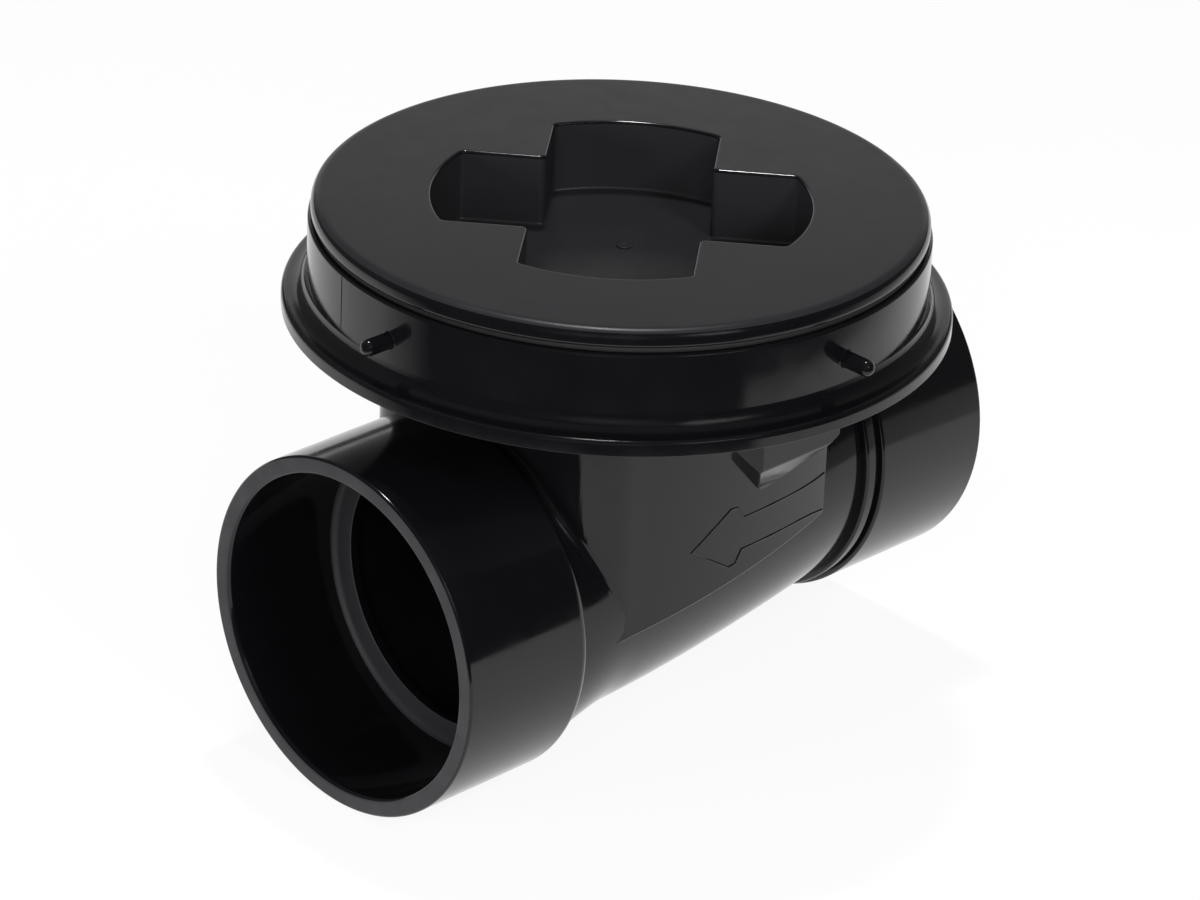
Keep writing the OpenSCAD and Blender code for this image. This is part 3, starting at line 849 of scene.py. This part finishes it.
def make_cap():
    top, rim = cap_high.z, cap_high.z - rim_h
    foot = rim - plug_len
    floor = top - recess_depth
    cup_foot = floor - recess_wall
    inner = plug_r - plug_wall
    e = edge_round / 2
    land = cap_r - rim_round - recess_land

    def at(p, z):
        return abs(p.z - z) < same

    def on_loops(p, z, ring):
        """True at a height, on a ring or on the outline of the cross inside it."""
        r = off_axis(p)
        return at(p, z) and (r < recess_r + recess_wall + slack or abs(r - ring) < 5 * same)

    shell = [(land, top), (cap_r - rim_round, top)] \
        + arc(cap_r - rim_round, top - rim_round, rim_round, 90, 0, 10)[1:] \
        + arc(cap_r - rim_under, rim + rim_under, rim_under, 0, -90, 5) + [(plug_r, rim)] \
        + arc(plug_r - e, foot + e, e, 0, -90, 3) + arc(inner + e, foot + e, e, 270, 180, 3) \
        + [(inner, rim)]
    shell = upright("cover_lid", shell, closed=False)
    cross = draw("cross", cross_outline(recess_land, top), True)
    bpy.ops.mesh.edge_face_add()
    cup = draw("cup", cross_outline(recess_wall, rim), True)
    bpy.ops.mesh.extrude_region_move(TRANSFORM_OT_translate={"value": (0, 0, cup_foot - rim)})
    bpy.ops.mesh.edge_face_add()
    cap = merge_pieces([shell, cross, cup])
    edit(cap)
    for z, ring in ((top, land), (rim, inner)):
        pick(cap, "EDGE", lambda a, b: on_loops(a, z, ring) and on_loops(b, z, ring))
        bpy.ops.mesh.fill(use_beauty=True)
    pick(cap, "FACE", lambda p, n: at(p, top) and off_axis(p) < slack)
    bpy.ops.mesh.inset(thickness=recess_land, depth=0, use_even_offset=True)
    bpy.ops.mesh.extrude_region_move(TRANSFORM_OT_translate={"value": (0, 0, -recess_depth)})
    pick(cap, "FACE", lambda p, n: at(p, top - recess_depth / 2) and off_axis(p) < recess_r + slack)
    bpy.ops.mesh.region_to_loop()
    bpy.ops.mesh.bevel(offset=recess_edge, segments=4, affect="EDGES")
    close_up()

    ribs = []
    for i in range(rib_count):
        angle = i * 2 * math.pi / rib_count
        start = cross_reach(angle, recess_wall) - recess_wall / 2
        rib = box("rib", cover_axis + Vector((start, -rib_t / 2, rim - plug_len / 2)),
                  cover_axis + Vector((inner + plug_wall / 2, rib_t / 2, rim + rim_h / 2)))
        bevel_edges(rib, e, 2)
        turn_about_cover(rib, angle)
        ribs.append(rib)
    mark = upright("mark", [(0, floor - sprue_sink), (sprue_mark_r, floor - sprue_sink)]
                   + arc(sprue_mark_r - e / 2, floor + e / 2, e / 2, 0, 90, 3)
                   + [(sprue_mark_r / 3, floor + e), (0, floor)], closed=False, steps=SMALL_ROUND)
    edit(mark)
    bpy.ops.mesh.select_all(action="SELECT")
    bpy.ops.transform.translate(value=sprue_mark_at)
    bpy.ops.object.mode_set(mode="OBJECT")
    ridge = thread("plug_thread", plug_r, plug_r + thread_h, thread_low)
    cap = merge_pieces([cap, ridge, mark] + ribs)
    smooth(cap, 35)
    finish_piece(cap, "cover", polished_abs, ["cover_cap"])

    def grained(p, n):
        """True on the top and in the recess, but not on the rounding of the recess's edge."""
        if off_axis(p) < recess_r + recess_land:
            edge = p.z > top - recess_edge and n.z < top_facing
            return p.z > floor - 10 * same and not edge
        return p.z > rim and n.z > rim_facing

    second_finish(cap, grained_abs, grained)


def ease(t):
    """A smooth step from 0 to 1."""
    t = min(max(t, 0), 1)
    return t * t * (3 - 2 * t)


def barrel_axis(x):
    """Height of the barrel's middle: a bend behind the outlet socket, then a rise to the inlet."""
    rise = inlet_mouth.z - outlet_mouth.z - bend_rise
    climb = min(max((climb_start - x) / (climb_start + climb_end), 0), 1)
    return outlet_mouth.z + bend_rise * ease((bend_start - x) / bend_run) + rise * climb ** climb_curve


def bore_axis(x):
    """Height of the bore's middle: the barrel's, but level with the seat's sleeve at the inlet."""
    return barrel_axis(x) + (inlet_mouth.z - barrel_axis(x)) * ease((-sleeve_start - x) / sleeve_run)


def loft(name, r, axis, x0, x1, steps):
    """A round bar along the pipe, lofted through rings that follow a line of heights."""
    rings = []
    for i in range(steps + 1):
        x = x0 + (x1 - x0) * i / steps
        clear_selection()
        bpy.ops.mesh.primitive_circle_add(vertices=ROUND, radius=r, rotation=(0, math.pi / 2, 0),
                                          location=cover_axis + Vector((x, 0, axis(x))))
        bpy.ops.object.transform_apply(location=True, rotation=True, scale=True)
        rings.append(bpy.context.object)
    bar = merge_pieces(rings)
    bar.name = name
    edit(bar, "EDGE")
    bpy.ops.mesh.select_all(action="SELECT")
    bpy.ops.mesh.bridge_edge_loops()
    for x in (x0, x1):
        pick(bar, "VERT", lambda p: abs(p.x - cover_axis.x - x) < same)
        bpy.ops.mesh.edge_face_add()
    close_up()
    return bar


def slice_off(piece, place, normal):
    """Cuts a solid with a plane, drops what lies on the normal's side and closes the cut."""
    edit(piece)
    bpy.ops.mesh.select_all(action="SELECT")
    bpy.ops.mesh.bisect(plane_co=place, plane_no=Vector(normal).normalized(),
                        use_fill=True, clear_outer=True)
    close_up()


def chamber_block(name, inset, floor, top):
    """The chamber as a solid, over a floor that rises with the pipe to the inlet."""
    block = prism(name, chamber_outline(inset, shell_low.z), (0, 0, top - shell_low.z))
    across = Vector((math.sin(ridge_slope), 0, math.cos(ridge_slope)))
    place = cover_axis + Vector((ridge_start, 0, 0)) + across * floor
    slice_off(block, place, -across)
    return block, place, across


def boss_block(side):
    """A hinge boss: a corbel under the flange whose sides all lean in to the chamber's wall."""
    y0, y1 = sorted((side * (chamber_half - chamber_wall), side * boss_out))
    boss = box("boss", cover_axis + Vector((boss_inlet, y0, boss_foot)),
               cover_axis + Vector((boss_outlet, y1, collar_low.z + sink)))
    wall_y = side_half(pocket_x)

    def through(x, y, z):
        return cover_axis + Vector((x, side * y, z))

    lean = boss_edge - boss_foot
    slice_off(boss, through(0, boss_out, boss_edge), (0, side * lean, wall_y - boss_out))
    slice_off(boss, through(boss_outlet - lean, 0, boss_foot), (lean * boss_end_lean, 0, -lean))
    slice_off(boss, through(boss_outlet, wall_y, 0), (boss_out - wall_y, side * boss_slant, 0))
    run = boss_outlet - lean - boss_inlet - boss_round
    slice_off(boss, through(boss_outlet - lean, 0, boss_foot), (-lean, 0, -run))
    bevel_edges(boss, body_edge, 3, 20)
    return boss


def crease_section(plan_x, plan_y, out):
    """The hollow rounding between the chamber's end wall and the barrel, at one place in plan: an arc
    that meets both, closed by a point sunk in the wall."""
    rise = math.sqrt((barrel_r - weld) ** 2 - plan_y ** 2)
    foot = cover_axis + Vector((plan_x, plan_y, barrel_axis(plan_x) + rise))
    wall = Vector((out[0], out[1], 0))
    skin = Vector((0, plan_y, rise)).normalized()
    middle = (wall + skin) * crease_round / (1 + wall.dot(skin))
    points = [foot + middle - wall.slerp(skin, i / 6) * crease_round for i in range(7)]
    return points + [foot - (wall + skin) * crease_sink]


def make_crease():
    x1, r = chamber_outlet, chamber_corner
    corner_y = side_half(x1 - r) - r
    half = [(x1, corner_y * i / 12, (1, 0)) for i in range(12)]
    for i in range(17):
        turn = math.radians(crease_end * i / 16)
        out = (math.cos(turn), math.sin(turn))
        half.append((x1 - r + r * out[0], corner_y + r * out[1], out))
    stations = [(x, -y, (a, -b)) for x, y, (a, b) in reversed(half[1:])] + half
    sections = [crease_section(*station) for station in stations]
    crease = merge_pieces([draw_done("crease", points) for points in sections])
    edit(crease, "EDGE")
    bpy.ops.mesh.select_all(action="SELECT")
    bpy.ops.mesh.bridge_edge_loops()
    for points in (sections[0], sections[-1]):
        pick(crease, "VERT", lambda p: min((p - q).length for q in points) < same)
        bpy.ops.mesh.edge_face_add()
    close_up()
    return crease


def make_body():
    """The barrel, chamber and hinge bosses in one moulding, with softened edges and a rounded crease."""
    outlet_end, inlet_end = shell_high.x - cover_axis.x, shell_low.x - cover_axis.x
    body = loft("valve_moulding", barrel_r - weld, barrel_axis, inlet_end, outlet_end, BARREL_STEPS)
    chamber, place, across = chamber_block("chamber", 0, -ridge_drop, collar_low.z)

    def softened(a, b):
        """True for the edges of the sloping floor and the long upright edges at the inlet end."""
        if all(abs((q - place).dot(across)) < same for q in (a, b)):
            return True
        at_end = all(abs(q.x - cover_axis.x + chamber_inlet) < same for q in (a, b))
        outside = all(abs(q.y) > chamber_half / 2 for q in (a, b))
        return at_end and outside and (a - b).length > long_edge

    edit(chamber)
    pick(chamber, "EDGE", softened)
    bpy.ops.mesh.bevel(offset=ridge_edge, segments=4, affect="EDGES")
    close_up()
    cut(body, chamber, "UNION")
    for side in (1, -1):
        cut(body, boss_block(side), "UNION")
    cut(body, loft("bore", barrel_r - weld - chamber_wall, bore_axis,
                   inlet_end - past, outlet_end + past, BARREL_STEPS))
    inside = chamber_block("inside", chamber_wall, chamber_wall - ridge_drop, collar_low.z + past)[0]
    cut(body, inside)
    seat_low, seat_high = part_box("valve_seat")
    cut(body, loft("sleeve", (seat_high.y - seat_low.y) / 2 + weld, lambda x: inlet_mouth.z,
                   inlet_end - past, seat_high.x - cover_axis.x, SLEEVE_STEPS))
    for side in (1, -1):
        low, high = sorted(side * y for y in pocket_y)
        cut(body, box("pocket", cover_axis + Vector((pocket_x - pocket_half, low, pocket_floor)),
                      cover_axis + Vector((pocket_x + pocket_half, high, collar_low.z + past))))
    body = merge_pieces([body, make_crease()])
    smooth(body, 30)
    finish_piece(body, "valve_body", polished_abs, ["body_shell"])


def make_screws(name, body, replaced, places, axis, size):
    """Pan-head screws with a cross slot: one is turned and slotted, and the others are its copies."""
    d, rise, shank = size
    across = Vector((0, 1, 0))
    up = axis.cross(across)
    # The head's outline rises by shares of its height: a straight foot, a rounded shoulder, a nearly flat top
    foot_r, top_r = head_foot * d, head_top * d
    shoulder = (foot_r + top_r) / 2 + head_swell
    outline = [(0, -shank), (d / 2, -shank), (d / 2, 0), (foot_r, 0), (foot_r, 0.3 * rise),
               (shoulder, 0.75 * rise), (top_r, 0.92 * rise), (top_r * 0.6, rise), (0, rise)]
    first = turned(name, outline, places[0], axis, across, closed=False, steps=SMALL_ROUND)
    floor = places[0] + axis * rise * slot_floor
    for a, b in ((across, up), (up, across)):
        long, wide = a * d * slot_reach, b * d * slot_half
        bar = [floor + long + wide, floor - long + wide, floor - long - wide, floor + long - wide]
        cut(first, prism("slot", bar, axis * rise))
    screws = [first]
    for place in places[1:]:
        screw = copy_of(first)
        edit(screw)
        bpy.ops.mesh.select_all(action="SELECT")
        bpy.ops.transform.translate(value=place - places[0])
        bpy.ops.object.mode_set(mode="OBJECT")
        screws.append(screw)
    screws = merge_pieces(screws)
    smooth(screws, 40)
    finish_piece(screws, body, steel, [replaced])


def make_all_screws():
    turn = Matrix.Rotation(-gate_lean, 3, "Y")
    places = []
    for i in range(screw_count):
        t = math.radians(i * 360 / screw_count)
        up = screw_circle * math.cos(t) - gate_drop
        places.append(hinge_at + turn @ Vector((-retainer_face, screw_circle * math.sin(t), up)))
    make_screws("seal_plate_screws", "gate", "retainer_screws", places,
                turn @ Vector((-1, 0, 0)), retainer_screw)
    out, side, top = keeper_at
    places = [cover_axis + Vector((pocket_x + a * out, b * side, top)) for a in (1, -1) for b in (1, -1)]
    make_screws("keeper_plate_screws", "valve_body", "keeper_screws", places,
                Vector((0, 0, 1)), keeper_screw)


def make_arrow():
    """A plain flow arrow in raised lines on one side of the chamber, open at the inlet edge."""
    plan = arrow_half + [(x, -h) for x, h in reversed(arrow_half[:-1])]
    points = [cover_axis + Vector((x, side_half(x) - arrow_line / 4, arrow_z + h)) for x, h in plan]
    arrow = draw("flow_arrow", points, False)
    activate(arrow)
    bpy.ops.object.convert(target="CURVE")
    curve = bpy.context.object
    curve.data.bevel_depth = arrow_line
    curve.data.bevel_resolution = 3
    curve.data.use_fill_caps = True
    bpy.ops.object.convert(target="MESH")
    arrow = bpy.context.object
    edit(arrow)
    close_up()
    smooth(arrow, 50)
    finish_piece(arrow, "valve_body", polished_abs)


make_outlet_hub()
make_inlet_hub()
make_collar()
make_pins()
make_gasket()
make_cap()
make_body()
make_arrow()
make_all_screws()

# A finish for every CAD node, also for those that a new piece stands for
FINISHES = {
    polished_abs: ["body_shell", "access_collar", "sleeve_pins", "cover_cap", "outlet_hub", "inlet_hub"],
    trimmed_abs: ["valve_seat", "gate_disc"],
    epdm: ["cover_gasket", "gate_seal"],
    acetal: ["hinge_bush_left", "hinge_bush_right", "pin_keeper_left", "pin_keeper_right"],
    steel: ["seal_retainer", "retainer_screws", "hinge_pin", "keeper_screws"],
}
for material, names in FINISHES.items():
    for name in names:
        nodes[name].data.materials.clear()
        nodes[name].data.materials.append(material)

clear_selection()
